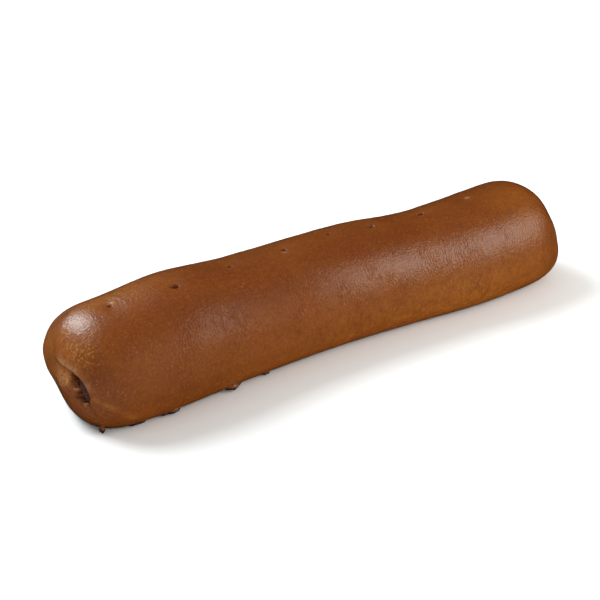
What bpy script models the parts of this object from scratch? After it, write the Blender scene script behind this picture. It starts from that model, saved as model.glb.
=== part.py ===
"""Poppy seed roll: a baked log of yeast dough round a poppy seed filling.

The log lies along X on its flat base and stands in +Z. Each end is closed by a tongue of dough
tucked under a rounded lip, and at the near end, at -X, the filling shows in a pocket between the
two. Eight docking pricks run along the top, and a little of the filling has leaked out and baked
on along the front of the base. Units are metres, and the origin is the middle of the bottom of
the bounding box.
"""
import math
from dataclasses import dataclass

import bmesh
import bpy
import numpy as np
from mathutils import Matrix, Vector

MM = 0.001

# The log -------------------------------------------------------------------------------------
LENGTH = 300 * MM
HEIGHT = 52.4 * MM
WIDTH = 60.2 * MM
TOP_SQUARENESS = 2.15       # exponent of the superellipse above the widest level; 2 is an ellipse
BASE_SQUARENESS = 2.5       # and below it, where the dough has slumped
WIDEST_LEVEL = 0.46         # height of the widest level, as a share of the log's height
SLUMP = 4 * MM              # how far the round underside would reach below the flat base
BASE_EDGE = 1 * MM          # softness of the edge round the base

# Swells and bends: place along the log, reach either way, amount
SWELLS = (
    (-91 * MM, 32 * MM, 3.9 * MM),
    (60 * MM, 25 * MM, -2.0 * MM),
)
BENDS = (
    (-118 * MM, 40 * MM, -4.0 * MM),
    (-4 * MM, 45 * MM, 1.8 * MM),
    (92 * MM, 45 * MM, -4.5 * MM),
)
YAW = 0.04                  # how far the log runs sideways for its length


# The tucked ends -----------------------------------------------------------------------------
@dataclass(frozen=True)
class TuckedEnd:
    """A rounded end of the log, with rings centred on its tongue and a crease along one of them."""

    side: int               # -1 at -X and 1 at +X
    reach: float            # how far along the log it takes to round off
    squareness: float
    lean: float             # how far it leans outwards for each metre of height
    tongue_y: float         # the middle of the tongue, in the plane of the end
    tongue_z: float
    arc: tuple              # the crease's first and last angle round the tongue, in degrees
    lip_rise: float
    crease_depth: float
    tongue_rings: int
    lip_rings: int


NEAR_END = TuckedEnd(
    side=-1, reach=24.5 * MM, squareness=2.75, lean=0.08, tongue_y=-13.5 * MM, tongue_z=17 * MM,
    arc=(48, 192), lip_rise=1.0 * MM, crease_depth=2.4 * MM, tongue_rings=9, lip_rings=12)
FAR_END = TuckedEnd(
    side=1, reach=37 * MM, squareness=3.9, lean=-0.23, tongue_y=9 * MM, tongue_z=19 * MM,
    arc=(-20, 150), lip_rise=0.8 * MM, crease_depth=1.8 * MM, tongue_rings=6, lip_rings=12)
LEAN_REACH = 60 * MM        # the stretch of each end that leans
CREASE_SIZE = 0.52          # the ring of the crease, as a share of the log's section
CREASE_FADE = 20            # degrees over which the crease runs out
TONGUE_SQUARENESS = 3.0     # exponent of the tongue's outline
LIP_REACH = 4.0 * MM
CREASE_REACH = 4.5 * MM
LIP_OVERHANG = 0.9 * MM     # how far the lip and the crease pass each other
LIP_SHARPNESS = 0.35 * MM


# The pocket under the near end's lip: two cells along the crease, parted by a strand of dough,
# and the bed of filling that shows in both -----------------------------------------------------
@dataclass(frozen=True)
class PocketCell:
    """An egg-shaped space under the lip, placed round the middle of the tongue."""

    angle: float            # degrees round the tongue
    from_middle: float
    length: float           # along the crease
    width: float            # across it
    depths: tuple           # from where to where it reaches behind the pocket's mouth


POCKET_CELLS = (
    PocketCell(130, 14.6 * MM, 8.5 * MM, 4.6 * MM, (-6 * MM, 6 * MM)),
    PocketCell(164, 12.8 * MM, 6.5 * MM, 5.5 * MM, (-6 * MM, 6 * MM)),
)
FILLING_BED = PocketCell(147, 11.4 * MM, 17 * MM, 8 * MM, (1.4 * MM, 9 * MM))
POCKET_MOUTH = -148 * MM    # station of the pocket's mouth
POCKET_UNDERCUT = math.radians(8)

# Docking pricks: place along the log, sideways from the ridge ---------------------------------
PRICKS = (
    (-124 * MM, -1.8 * MM),
    (-90.6 * MM, -6.3 * MM),
    (-54.4 * MM, -1.6 * MM),
    (-20.8 * MM, -1.4 * MM),
    (8.9 * MM, 1.5 * MM),
    (33 * MM, -1.1 * MM),
    (66 * MM, 1.8 * MM),
    (95.7 * MM, 2.1 * MM),
)
PRICK_WIDTH = 3 * MM
PRICK_TIP = 0.7 * MM
PRICK_DEPTH = 5 * MM
PRICK_CLEARANCE = 1 * MM    # how far its cutter stands out of the crust
DIMPLE_DEPTH = 0.6 * MM     # how far the crust is drawn in round each prick
DIMPLE_REACH = 6 * MM

# Leaked crumbs along the front of the base: place along the log, length, height, how proud ----
CRUMBS = (
    (-122.5 * MM, 11 * MM, 2.8 * MM, 0.8 * MM),
    (-107.5 * MM, 7 * MM, 3.0 * MM, 1.2 * MM),
    (-103.5 * MM, 7.5 * MM, 4.0 * MM, 2.2 * MM),
    (-68.5 * MM, 7.5 * MM, 4.4 * MM, 2.6 * MM),
    (-64.5 * MM, 5 * MM, 3.2 * MM, 1.6 * MM),
    (-47 * MM, 6.5 * MM, 3.2 * MM, 1.2 * MM),
)
CRUMB_ROOT = 1.2 * MM       # how far a crumb's middle is sunk into the crust
CRUMB_LEVEL = 0.3 * MM      # the crumbs' undersides, just clear of the base plane
DRIP_PLACE = (-139.7 * MM, -27.1 * MM)
DRIP_WIDTH = 3.2 * MM
DRIP_HEIGHT = 5.5 * MM

# The filling --------------------------------------------------------------------------------
FILLING_SHARE = 0.62        # the filling's width and height, as a share of the log's
FILLING_ENDS = (-122 * MM, 118 * MM)
FILLING_END_REACH = 16 * MM
TAIL_START = (-124 * MM, -12 * MM, 24 * MM)
TAIL_END = (-144 * MM, -22.5 * MM, 24 * MM)
TAIL_WIDTH = 12 * MM
GAP = 0.3 * MM              # clearance between the filling and the crust

# Facets -------------------------------------------------------------------------------------
SEGMENTS = 48
MIDDLE_RINGS = 22
FILLING_SEGMENTS, FILLING_RINGS, FILLING_END_RINGS = 24, 22, 5
SMOOTH_BELOW = math.radians(50)

CRUST_COLOUR = (0.205, 0.062, 0.016)
FILLING_COLOUR = (0.030, 0.014, 0.012)


def smooth_step(value):
    value = np.clip(value, 0, 1)
    return value * value * (3 - 2 * value)


def humps(x, rows):
    """Sum of smooth humps, each with a place, a reach and an amount."""
    return sum(amount * np.exp(-((x - place) / reach) ** 2) for place, reach, amount in rows)


def middle_line(x):
    """Sideways place of the log's middle at a station."""
    return YAW * x + humps(x, BENDS)


def log_height(x):
    return HEIGHT + humps(x, SWELLS)


def outline(angle, tongue=0):
    """Reach of the unit section at an angle, 0 at +Y and a quarter turn at the top."""
    blend = smooth_step(0.5 + 2 * np.sin(angle))
    power = BASE_SQUARENESS + (TOP_SQUARENESS - BASE_SQUARENESS) * blend
    power = power + (TONGUE_SQUARENESS - power) * tongue
    return (np.abs(np.cos(angle)) ** power + np.abs(np.sin(angle)) ** power) ** (-1 / power)


def section(x, up):
    """Middle, widest level, half width and reach up or down of the log at a station."""
    swell = humps(x, SWELLS)
    widest = WIDEST_LEVEL * (HEIGHT + swell)
    reach = np.where(up > 0, HEIGHT + swell - widest, widest + SLUMP)
    return middle_line(x), widest, (WIDTH + swell) / 2, reach


def settle(x, y, z):
    """Lean the ends, and flatten the underside with a soft edge."""
    height = z - WIDEST_LEVEL * log_height(x)
    lean = sum(end.side * end.lean
               * np.clip(1 - (LENGTH / 2 - end.side * x) / LEAN_REACH, 0, 1) ** 2
               for end in (NEAR_END, FAR_END))
    soft = (z + BASE_EDGE) ** 2 / (4 * BASE_EDGE)
    z = np.where(z < -BASE_EDGE, 0, np.where(z > BASE_EDGE, z, soft))
    return np.stack([x + lean * height, y, z], axis=-1)


def side_point(x, angle):
    """Points of the plain log between its ends, at stations and angles."""
    middle, widest, half_width, reach = section(x, np.sin(angle))
    return settle(x, middle + half_width * outline(angle) * np.cos(angle),
                  widest + reach * outline(angle) * np.sin(angle))


def end_station(end, size):
    """Station at which an end's section has grown to a size, from 0 at the tip to 1."""
    rest = (1 - np.clip(size, 0, 1) ** end.squareness) ** (1 / end.squareness)
    return end.side * (LENGTH / 2 - end.reach * (1 - rest))


def end_point(end, size, angle):
    """Points of a plain end, on rings that move from the tongue's middle to the log's."""
    station = end_station(end, size)
    middle, widest, half_width, reach = section(station, np.sin(angle))
    on_log = np.clip((size - CREASE_SIZE) / (1 - CREASE_SIZE), 0, 1)
    across = half_width * size * outline(angle, 1 - on_log) * np.cos(angle)
    up = reach * size * outline(angle, 1 - on_log) * np.sin(angle)
    y = end.tongue_y + (middle - end.tongue_y) * on_log + across
    z = end.tongue_z + (widest - end.tongue_z) * on_log + up
    across, up = (y - middle) / half_width, (z - widest) / section(station, z - widest)[3]
    true_size = np.hypot(across, up) / outline(np.arctan2(up, across))
    return settle(end_station(end, true_size), y, z)


def tuck_relief(end, size, angle):
    """Rise of a tucked end's relief, and its slide away from the middle of the tongue."""
    past = (size - CREASE_SIZE) * WIDTH / 2
    turn = np.degrees(np.mod(angle + math.pi / 2, 2 * math.pi)) - 90
    first, last = end.arc
    window = (smooth_step((turn - first) / CREASE_FADE + 0.5)
              * smooth_step((last - turn) / CREASE_FADE + 0.5))
    on_lip = 0.5 + 0.5 * np.tanh(past / LIP_SHARPNESS)
    lip = on_lip * np.exp(-np.abs(past) / LIP_REACH)
    crease = (1 - on_lip) * np.exp(-np.abs(past) / CREASE_REACH)
    return (window * (end.lip_rise * lip - end.crease_depth * crease),
            window * LIP_OVERHANG * (crease - lip))


def front_edge(x, level):
    """The log's front surface at a station and a height in its lower half."""
    middle, widest, half_width, reach = section(x, -1)
    inset = (1 - ((widest - level) / reach) ** BASE_SQUARENESS) ** (1 / BASE_SQUARENESS)
    return Vector((x, middle - half_width * inset, level))


def prick_dimple(point):
    """How far the crust is drawn in at a point near the docking pricks."""
    if point.z < WIDEST_LEVEL * HEIGHT:
        return 0.0
    return DIMPLE_DEPTH * sum(
        math.exp(-(math.hypot(point.x - place, point.y - middle_line(place) - sideways)
                   / DIMPLE_REACH) ** 2)
        for place, sideways in PRICKS)


def new_object(name, mesh_tools, collection):
    """Object made from a bmesh."""
    mesh = bpy.data.meshes.new(name)
    mesh_tools.to_mesh(mesh)
    mesh_tools.free()
    item = bpy.data.objects.new(name, mesh)
    collection.objects.link(item)
    return item


def as_cutter(item):
    item.hide_render = True
    item.display_type = 'WIRE'
    return item


def sphere_rings(mesh_tools, segments, rings):
    """Unit sphere; gives each vertex with its ring, from the lower pole, and its angle."""
    bmesh.ops.create_uvsphere(mesh_tools, u_segments=segments, v_segments=rings, radius=1)
    placed = []
    for vertex in mesh_tools.verts:
        polar = math.acos(max(-1.0, min(1.0, vertex.co.z)))
        ring = rings - round(polar / math.pi * rings)
        placed.append((vertex, ring, math.atan2(vertex.co.y, vertex.co.x)))
    return placed


def ellipsoid(name, collection, middle, axes, sizes, segments=12, rings=8):
    """Ellipsoid at a middle, with its three axes and its full sizes along them."""
    mesh_tools = bmesh.new()
    frame = Matrix([[*axes[row]] for row in range(3)]).transposed().to_4x4()
    scale = Matrix.Diagonal((sizes[0] / 2, sizes[1] / 2, sizes[2] / 2, 1))
    bmesh.ops.create_uvsphere(mesh_tools, u_segments=segments, v_segments=rings, radius=1,
                              matrix=Matrix.Translation(middle) @ frame @ scale)
    return new_object(name, mesh_tools, collection)


def frame_from(direction, near_up=(0, 0, 1)):
    """Three square axes, the first along a direction and the third near an upward one."""
    first = Vector(direction).normalized()
    second = Vector(near_up).cross(first).normalized()
    return first, second, first.cross(second)


def ring_size(end, ring):
    """Size of an end's ring: evenly out to the crease, then evenly round the shoulder."""
    step = LIP_SHARPNESS / WIDTH
    if ring <= end.tongue_rings:
        return (CREASE_SIZE - step) * ring / end.tongue_rings
    power = end.squareness / 2
    crease_turn = math.asin((CREASE_SIZE + step) ** power)
    along = (ring - end.tongue_rings - 1) / (end.lip_rings - 1)
    return math.sin(crease_turn + (math.pi / 2 - crease_turn) * along) ** (1 / power)


def make_log(collection):
    """The outer form of the crust, with its tucks and dimples, closed flat at the base."""
    mesh_tools = bmesh.new()
    near_rings = NEAR_END.tongue_rings + NEAR_END.lip_rings
    far_rings = FAR_END.tongue_rings + FAR_END.lip_rings
    rings = near_rings + MIDDLE_RINGS + far_rings
    start, stop = end_station(NEAR_END, 1), end_station(FAR_END, 1)
    on_ends = []
    for vertex, ring, angle in sphere_rings(mesh_tools, SEGMENTS, rings):
        from_far = rings - ring
        if near_rings < ring < rings - far_rings:
            station = start + (stop - start) * (ring - near_rings) / MIDDLE_RINGS
            vertex.co = side_point(station, angle)
            continue
        end = NEAR_END if ring <= near_rings else FAR_END
        size = ring_size(end, min(ring, from_far))
        vertex.co = end_point(end, size, angle)
        on_ends.append((vertex, end, size, angle))
    mesh_tools.normal_update()
    slides = {}
    for vertex, end, size, angle in on_ends:
        rise, slide = tuck_relief(end, size, angle)
        outward = Vector((0, vertex.co.y - end.tongue_y, vertex.co.z - end.tongue_z))
        slides[vertex] = vertex.normal * rise + outward.normalized() * slide
    for vertex in mesh_tools.verts:
        vertex.co += slides.get(vertex, Vector()) - vertex.normal * prick_dimple(vertex.co)
    flat = [face for face in mesh_tools.faces if max(v.co.z for v in face.verts) < 1e-7]
    bmesh.ops.delete(mesh_tools, geom=flat, context='FACES')
    rim = [edge for edge in mesh_tools.edges if edge.is_boundary]
    base = bmesh.ops.edgeloop_fill(mesh_tools, edges=rim)["faces"]
    bmesh.ops.triangulate(mesh_tools, faces=base, ngon_method='BEAUTY')
    return new_object("crust", mesh_tools, collection)


def pocket_lump(name, collection, cell, gap=0):
    """The space of a pocket cell with a gap added all round, leaning in under the lip."""
    angle = math.radians(cell.angle)
    outward = Vector((0, math.cos(angle), math.sin(angle)))
    along = Vector((0, -math.sin(angle), math.cos(angle)))
    inward = Vector((math.cos(POCKET_UNDERCUT), 0, 0)) + outward * math.sin(POCKET_UNDERCUT)
    mouth = Vector((POCKET_MOUTH, NEAR_END.tongue_y, NEAR_END.tongue_z))
    front, back = cell.depths
    middle = mouth + outward * cell.from_middle + inward * (front + back) / 2
    sizes = (back - front + 2 * gap, cell.length + 2 * gap, cell.width + 2 * gap)
    return ellipsoid(name, collection, middle, (inward, along, inward.cross(along)), sizes)


def make_pricks(collection):
    """One tapered pit for each docking prick."""
    for place, sideways in PRICKS:
        mesh_tools = bmesh.new()
        length = PRICK_DEPTH + PRICK_CLEARANCE
        top = log_height(place) - DIMPLE_DEPTH + PRICK_CLEARANCE
        widening = (PRICK_WIDTH - PRICK_TIP) / PRICK_DEPTH
        bmesh.ops.create_cone(
            mesh_tools, cap_ends=True, segments=10, radius1=PRICK_TIP / 2,
            radius2=(PRICK_TIP + length * widening) / 2, depth=length,
            matrix=Matrix.Translation((place, middle_line(place) + sideways, top - length / 2)))
        new_object("prick", mesh_tools, collection)


def make_crumbs(collection):
    """Leaked lumps baked onto the front of the base, and the drip at the near end."""
    for place, length, height, proud in CRUMBS:
        level = CRUMB_LEVEL + height / 2
        ahead = front_edge(place + length / 2, level) - front_edge(place - length / 2, level)
        axes = frame_from(ahead)
        middle = front_edge(place, level) + axes[1] * CRUMB_ROOT
        sizes = (length, 2 * (proud + CRUMB_ROOT), height)
        ellipsoid("crumb", collection, middle, axes, sizes, 10, 8)
    drip_x, drip_y = DRIP_PLACE
    low = CRUMB_LEVEL + DRIP_WIDTH / 2
    upright = frame_from((1, 0, 0))
    ellipsoid("drip", collection, (drip_x, drip_y, low), upright, (DRIP_WIDTH,) * 3, 10, 8)
    neck = (0.75 * DRIP_WIDTH, 0.75 * DRIP_WIDTH, DRIP_HEIGHT)
    toward_log = (drip_x + 0.3 * DRIP_WIDTH, drip_y + 0.2 * DRIP_WIDTH,
                  CRUMB_LEVEL + 0.6 * DRIP_HEIGHT)
    ellipsoid("neck", collection, toward_log, upright, neck, 10, 8)


def make_core(name, collection, gap):
    """The filling's body with a gap added all round: a smaller log inside the log."""
    mesh_tools = bmesh.new()
    placed = sphere_rings(mesh_tools, FILLING_SEGMENTS, FILLING_RINGS)
    start, end = FILLING_ENDS[0] - gap, FILLING_ENDS[1] + gap
    for vertex, ring, angle in placed:
        from_end = min(ring, FILLING_RINGS - ring)
        along = (ring - FILLING_END_RINGS) / (FILLING_RINGS - 2 * FILLING_END_RINGS)
        x = start + FILLING_END_REACH + (end - start - 2 * FILLING_END_REACH) * along
        size = 1.0
        if from_end < FILLING_END_RINGS:
            turn = math.pi / 2 * from_end / FILLING_END_RINGS
            back = FILLING_END_REACH * (1 - math.cos(turn))
            x = start + back if ring < FILLING_RINGS / 2 else end - back
            size = math.sin(turn)
        height = log_height(x)
        half_width = (WIDTH + height - HEIGHT) / 2 * FILLING_SHARE + gap
        half_height = height / 2 * FILLING_SHARE + gap
        vertex.co = (x, middle_line(x) + math.cos(angle) * half_width * size,
                     height / 2 + math.sin(angle) * half_height * size)
    return new_object(name, mesh_tools, collection)


def make_tail(name, collection, gap):
    """The filling's tail, which reaches from its body to its bed behind the pocket."""
    start, end = Vector(TAIL_START), Vector(TAIL_END)
    along = end - start
    sizes = (along.length + TAIL_WIDTH + 2 * gap, TAIL_WIDTH + 2 * gap, TAIL_WIDTH + 2 * gap)
    middle = (start + end) / 2 - along.normalized() * TAIL_WIDTH / 2
    return ellipsoid(name, collection, middle, frame_from(along), sizes, 16, 14)


def combine(item, operation, tools):
    """Apply one Boolean of all of a collection's objects to an object, and remove them."""
    boolean = item.modifiers.new(operation.lower(), 'BOOLEAN')
    boolean.operation = operation
    boolean.solver = 'EXACT'
    boolean.operand_type = 'COLLECTION'
    boolean.collection = tools
    evaluated = item.evaluated_get(bpy.context.evaluated_depsgraph_get())
    result = bpy.data.meshes.new_from_object(evaluated)
    item.modifiers.clear()
    item.data = result
    for tool in list(tools.objects):
        bpy.data.objects.remove(tool, do_unlink=True)


def new_collection(name):
    collection = bpy.data.collections.new(name)
    bpy.context.scene.collection.children.link(collection)
    return collection


def dress(item, name, colour, roughness):
    """Give an object its plain material and smooth shading."""
    material = bpy.data.materials.new(name)
    material.use_nodes = True
    shader = material.node_tree.nodes["Principled BSDF"]
    shader.inputs["Base Color"].default_value = (*colour, 1)
    shader.inputs["Roughness"].default_value = roughness
    shader.inputs["Metallic"].default_value = 0
    item.data.materials.clear()
    item.data.materials.append(material)
    item.data.shade_smooth()
    item.data.set_sharp_from_angle(angle=SMOOTH_BELOW)


def centre(items):
    """Move the meshes so that the origin is the middle of the bounding box's bottom."""
    corners = np.array([vertex.co for item in items for vertex in item.data.vertices])
    low, high = corners.min(axis=0), corners.max(axis=0)
    shift = Matrix.Translation((-(low[0] + high[0]) / 2, -(low[1] + high[1]) / 2, 0))
    for item in items:
        item.data.transform(shift)


def main():
    for item in list(bpy.data.objects):
        bpy.data.objects.remove(item, do_unlink=True)
    roll = new_collection("poppy_seed_roll")
    tools = new_collection("cutters")

    crust = make_log(roll)
    make_crumbs(tools)
    combine(crust, 'UNION', tools)
    make_core("cavity", tools, GAP)
    make_tail("cavity_tail", tools, GAP)
    pocket_lump("cavity_bed", tools, FILLING_BED, GAP)
    for cell in POCKET_CELLS:
        pocket_lump("cell", tools, cell)
    make_pricks(tools)
    for tool in tools.objects:
        as_cutter(tool)
    combine(crust, 'DIFFERENCE', tools)

    filling = make_core("filling", roll, 0)
    make_tail("filling_tail", tools, 0)
    pocket_lump("filling_bed", tools, FILLING_BED)
    combine(filling, 'UNION', tools)

    centre([crust, filling])
    dress(crust, "baked_crust", CRUST_COLOUR, 0.35)
    dress(filling, "poppy_filling", FILLING_COLOUR, 0.7)


main()
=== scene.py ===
"""The looks of a baked poppy seed roll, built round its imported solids.

The roll lies along X on its flat base. Its crust is a fine skin over the same form as the solid: a
bent log whose two ends are closed by tongues of dough tucked under rounded lips. The skin carries
what a baker's glaze shows: docking pricks, blisters, wrinkles round the girth, and the pocket
under the near lip where the poppy seed filling shows. Filling that leaked out has baked on along
the front of the base. Lengths are millimetres in the log's own frame until a mesh is placed.
"""

import logging
import math
from dataclasses import dataclass, field
from enum import Enum

import bmesh
import bpy
import numpy as np
from mathutils import Matrix, Vector, noise


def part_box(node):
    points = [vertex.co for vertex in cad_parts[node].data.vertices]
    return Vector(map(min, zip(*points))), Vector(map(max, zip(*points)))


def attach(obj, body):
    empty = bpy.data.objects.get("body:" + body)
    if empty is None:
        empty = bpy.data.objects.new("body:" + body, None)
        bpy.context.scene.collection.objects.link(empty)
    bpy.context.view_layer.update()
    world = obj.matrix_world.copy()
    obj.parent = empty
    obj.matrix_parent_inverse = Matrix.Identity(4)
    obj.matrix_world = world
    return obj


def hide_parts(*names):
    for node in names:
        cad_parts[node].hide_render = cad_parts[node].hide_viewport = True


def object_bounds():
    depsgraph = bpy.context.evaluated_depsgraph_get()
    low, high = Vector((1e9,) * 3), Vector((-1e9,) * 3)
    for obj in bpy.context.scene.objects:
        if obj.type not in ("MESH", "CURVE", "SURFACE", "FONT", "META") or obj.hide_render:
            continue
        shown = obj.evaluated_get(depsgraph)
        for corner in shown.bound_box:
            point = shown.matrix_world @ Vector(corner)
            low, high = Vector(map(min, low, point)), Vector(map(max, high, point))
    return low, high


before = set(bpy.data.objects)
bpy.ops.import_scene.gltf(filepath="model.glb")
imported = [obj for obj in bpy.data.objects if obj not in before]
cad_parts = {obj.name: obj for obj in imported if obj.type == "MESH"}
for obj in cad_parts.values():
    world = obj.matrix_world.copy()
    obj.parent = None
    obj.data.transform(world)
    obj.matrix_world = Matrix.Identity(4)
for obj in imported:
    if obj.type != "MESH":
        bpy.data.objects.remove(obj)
CAD_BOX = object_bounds()
LOG = logging.getLogger("poppy_seed_roll")
MM = 0.001
BODY = "root"
FLOOR_GAP = 0.02                # how far loose relief stays above the floor

Point = tuple[float, float, float]
Colour = tuple[float, float, float]
Grain = tuple[float, float, float]       # noise by its size in millimetres, detail and roughness
Socket = bpy.types.NodeSocket


class Mask(Enum):
    """Attributes of the skin, each from 0 to 1, that the crust's finish reads."""

    GOLD = "gold"           # paler, more orange dough
    DEEP = "deep"           # the darkest, reddest bake
    PALE_AND_SHEEN = "pale_and_sheen"           # paler dough, and painted highlights and reflections on blisters, strands, the lip's crest and the near end's lower edge
    HOLLOW_SHADE = "hollow_shade"       # painted shade inside pricks, the pocket's cells and the near crease
    SINGED_AND_SHADE = "singed_and_shade"       # the thin dark edge round the base: browner bake and painted contact shadow
    CRUMBLY = "crumbly"     # torn dough with little glaze
    DULL = "dull"           # glaze that has worn thin


class Slot(Enum):
    """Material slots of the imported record."""

    CRUST = "crust"
    FILLING = "filling"


# ---------------------------------------------------------------------------------------------
# Arithmetic shared by the forms
# ---------------------------------------------------------------------------------------------
def smooth_step(value: np.ndarray) -> np.ndarray:
    """Smooth ramp from 0 to 1 as value goes from 0 to 1."""
    value = np.clip(value, 0, 1)
    return value * value * (3 - 2 * value)


def soft_edge(past: np.ndarray, width: float) -> np.ndarray:
    """0 before an edge and 1 past it, with a smooth change over a width."""
    return smooth_step(past / width + 0.5)


def bell(distance: np.ndarray, reach: float) -> np.ndarray:
    """Smooth bump, 1 at no distance and small past its reach."""
    return np.exp(-(distance / reach) ** 2)


@dataclass(frozen=True)
class Unevenness:
    """Smooth random relief, mostly within its height above and below nothing."""

    height: float
    size: Point                 # of its largest lumps, along each axis
    draw: float                 # a shift that gives it a pattern of its own
    octaves: int = 2            # how many times finer noise is added

    def at(self, points: np.ndarray) -> np.ndarray:
        """The relief at points in millimetres."""
        scaled = points / np.array(self.size) + self.draw
        return self.height * np.array([noise.fractal(Vector(point), 1.0, 2.0, self.octaves)
                                       for point in scaled])


@dataclass(frozen=True)
class Hump:
    """A smooth swell of some amount at a place along the log."""

    place: float
    reach: float
    amount: float

    def at(self, x: np.ndarray) -> np.ndarray:
        """The hump's share at stations along the log."""
        return self.amount * bell(x - self.place, self.reach)


@dataclass(frozen=True)
class TuckedEnd:
    """A rounded end of the log, whose rings are centred on the tongue of dough tucked into it."""

    side: int                   # -1 at -X and 1 at +X
    reach: float                # how far along the log it takes to round off
    squareness: float
    lean: float                 # how far it leans outwards for each unit of height
    tongue_y: float
    tongue_z: float
    arc: tuple[float, float]    # the crease's first and last angle, in degrees
    lip_rise: float
    crease_depth: float
    crease_reach: float         # how far the tongue is drawn in beside the crease


# ---------------------------------------------------------------------------------------------
# The log's form
# ---------------------------------------------------------------------------------------------
@dataclass(frozen=True)
class LogForm:
    """The roll's plain outer form: a bent, slumped log with two rounded, tucked ends."""

    length: float = 300.0
    height: float = 52.4
    width: float = 60.2
    top_squareness: float = 2.15    # exponent of the section's upper half; 2 is an ellipse
    base_squareness: float = 2.5
    widest_share: float = 0.46      # height of the widest level, as a share of the log's
    slump: float = 4.0              # how far the round underside would reach below the base
    base_edge: float = 1.0          # softness of the edge round the base
    swells: tuple[Hump, ...] = (Hump(-91, 32, 3.9), Hump(60, 25, -2.0))
    bends: tuple[Hump, ...] = (Hump(-118, 40, -4.0), Hump(-4, 45, 1.8), Hump(92, 45, -4.5))
    yaw: float = 0.04               # how far the log runs sideways for its length
    lean_reach: float = 60.0        # the stretch of each end that leans
    near: TuckedEnd = TuckedEnd(
        side=-1, reach=24.5, squareness=2.75, lean=0.08, tongue_y=-13.2, tongue_z=16.4,
        arc=(78, 194), lip_rise=1.6, crease_depth=3.2, crease_reach=4.5)
    far: TuckedEnd = TuckedEnd(
        side=1, reach=37, squareness=3.9, lean=-0.23, tongue_y=9, tongue_z=19,
        arc=(-20, 150), lip_rise=1.0, crease_depth=2.4, crease_reach=4.5)
    crease_size: float = 0.52   # the ring of the crease, as a share of the log's section
    crease_fade: float = 40.0   # degrees over which the crease runs out
    tongue_squareness: float = 3.0
    lip_reach: float = 5.0      # how far the lip's rise spreads away from the crease
    lip_round: float = 2.4      # width over which the lip rolls into the crease
    lip_overhang: float = 0.9   # how far the lip and the crease pass each other

    def middle_line(self, x: np.ndarray) -> np.ndarray:
        """Sideways place of the log's middle at stations."""
        return self.yaw * x + sum(bend.at(x) for bend in self.bends)

    def local_height(self, x: np.ndarray) -> np.ndarray:
        """Height of the log at stations."""
        return self.height + sum(swell.at(x) for swell in self.swells)

    def outline(self, angle: np.ndarray, tongue: np.ndarray | float = 0) -> np.ndarray:
        """Reach of the unit section at angles, 0 at +Y and a quarter turn at the top."""
        blend = smooth_step(0.5 + 2 * np.sin(angle))
        power = self.base_squareness + (self.top_squareness - self.base_squareness) * blend
        power = power + (self.tongue_squareness - power) * tongue
        return (np.abs(np.cos(angle)) ** power + np.abs(np.sin(angle)) ** power) ** (-1 / power)

    def section(self, x: np.ndarray, up: np.ndarray) -> tuple[np.ndarray, ...]:
        """Middle, widest level, half width and reach up or down of the log at stations."""
        swell = self.local_height(x) - self.height
        widest = self.widest_share * (self.height + swell)
        reach = np.where(up > 0, self.height + swell - widest, widest + self.slump)
        return self.middle_line(x), widest, (self.width + swell) / 2, reach

    def settle(self, x: np.ndarray, y: np.ndarray, z: np.ndarray) -> np.ndarray:
        """Points with the ends leaned and the underside flattened with a soft edge.

        Args:
            x: Stations of the points.
            y: Their sideways places.
            z: Their heights, which may be below the base.

        Returns:
            The points, one for each row.
        """
        height = z - self.widest_share * self.local_height(x)
        lean = sum(end.side * end.lean
                   * np.clip(1 - (self.length / 2 - end.side * x) / self.lean_reach, 0, 1) ** 2
                   for end in (self.near, self.far))
        edge = self.base_edge
        soft = (z + edge) ** 2 / (4 * edge)
        flat = np.where(z < -edge, 0, np.where(z > edge, z, soft))
        return np.stack([x + lean * height, y, flat], axis=-1)

    def side_points(self, x: np.ndarray, angle: np.ndarray) -> np.ndarray:
        """Points of the log between its ends, at stations and angles."""
        middle, widest, half_width, reach = self.section(x, np.sin(angle))
        out = self.outline(angle)
        return self.settle(x, middle + half_width * out * np.cos(angle),
                           widest + reach * out * np.sin(angle))

    def end_station(self, end: TuckedEnd, size: np.ndarray | float) -> np.ndarray:
        """Station at which an end's section has grown to a size, from 0 at the tip to 1."""
        rest = (1 - np.clip(size, 0, 1) ** end.squareness) ** (1 / end.squareness)
        return end.side * (self.length / 2 - end.reach * (1 - rest))

    def end_points(self, end: TuckedEnd, size: np.ndarray, angle: np.ndarray) -> np.ndarray:
        """Points of a plain end, on rings that move from the tongue's middle to the log's.

        Args:
            end: The end.
            size: The rings' sizes, as shares of the log's section.
            angle: Angles round the rings.

        Returns:
            The points, one for each row.
        """
        station = self.end_station(end, size)
        middle, widest, half_width, reach = self.section(station, np.sin(angle))
        on_log = np.clip((size - self.crease_size) / (1 - self.crease_size), 0, 1)
        out = self.outline(angle, 1 - on_log)
        y = end.tongue_y + (middle - end.tongue_y) * on_log
        z = end.tongue_z + (widest - end.tongue_z) * on_log
        y = y + half_width * size * out * np.cos(angle)
        z = z + reach * size * out * np.sin(angle)
        across = (y - middle) / half_width
        up = (z - widest) / self.section(station, z - widest)[3]
        true_size = np.hypot(across, up) / self.outline(np.arctan2(up, across))
        return self.settle(self.end_station(end, true_size), y, z)

    def past_crease(self, size: np.ndarray) -> np.ndarray:
        """How far points of some section size lie outside the crease."""
        return (size - self.crease_size) * self.width / 2

    def tuck_window(self, end: TuckedEnd, angle: np.ndarray) -> np.ndarray:
        """How much of the crease is there at angles round the tongue, from 0 to 1."""
        turn = np.degrees(np.mod(angle + math.pi / 2, 2 * math.pi)) - 90
        first, last = end.arc
        return (soft_edge(turn - first, self.crease_fade)
                * soft_edge(last - turn, self.crease_fade))

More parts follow.
